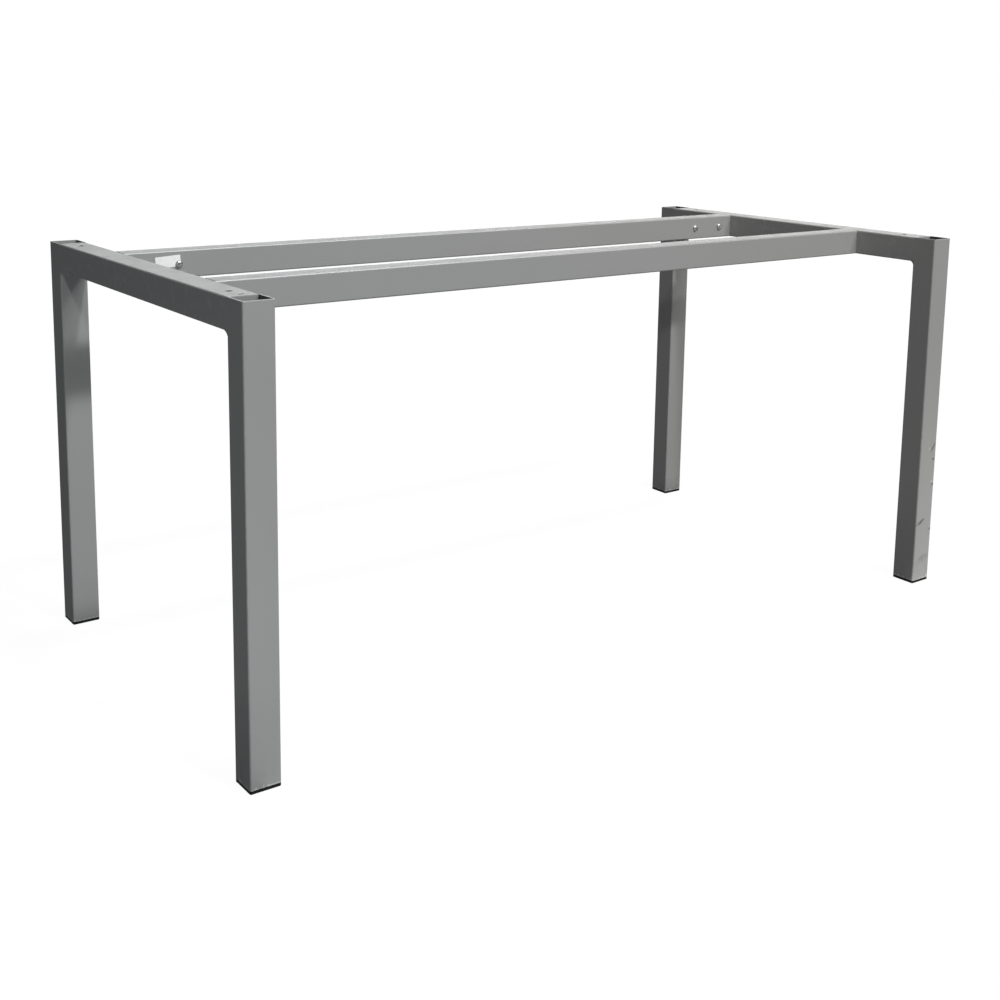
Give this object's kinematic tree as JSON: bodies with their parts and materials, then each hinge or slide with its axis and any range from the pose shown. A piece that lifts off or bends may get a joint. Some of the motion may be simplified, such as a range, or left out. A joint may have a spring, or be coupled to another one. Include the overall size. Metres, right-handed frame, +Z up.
{
  "type": "table frame",
  "caption": "Rectangular steel table frame: square-tube end frames joined by bolted long rails, on plastic feet, to carry a table top.",
  "frame": {"origin": "on the floor, under the middle of the frame", "axes": "+X along the length to the right, +Y from front to rear, +Z up"},
  "size_m": [1.55, 0.8, 0.718],
  "materials": {
    "silver_paint": "satin silver-grey powder coat with fine metal flake",
    "zinc": "bright zinc plate",
    "black_plastic": "moulded, fine matt"
  },
  "bodies": {
    "root": {"front_long_rail": "silver_paint", "rear_long_rail": "silver_paint", "left_end_rail": "silver_paint", "right_end_rail": "silver_paint", "left_front_leg": "silver_paint", "left_front_foot": "black_plastic", "left_front_weld": "silver_paint", "left_front_connector": "silver_paint", "left_front_bolts": "zinc", "left_front_nuts": "zinc", "left_rear_leg": "silver_paint", "left_rear_foot": "black_plastic", "left_rear_weld": "silver_paint", "left_rear_connector": "silver_paint", "left_rear_bolts": "zinc", "left_rear_nuts": "zinc", "right_front_leg": "silver_paint", "right_front_foot": "black_plastic", "right_front_weld": "silver_paint", "right_front_connector": "silver_paint", "right_front_bolts": "zinc", "right_front_nuts": "zinc", "right_rear_leg": "silver_paint", "right_rear_foot": "black_plastic", "right_rear_weld": "silver_paint", "right_rear_connector": "silver_paint", "right_rear_bolts": "zinc", "right_rear_nuts": "zinc"}
  },
  "joints": []
}
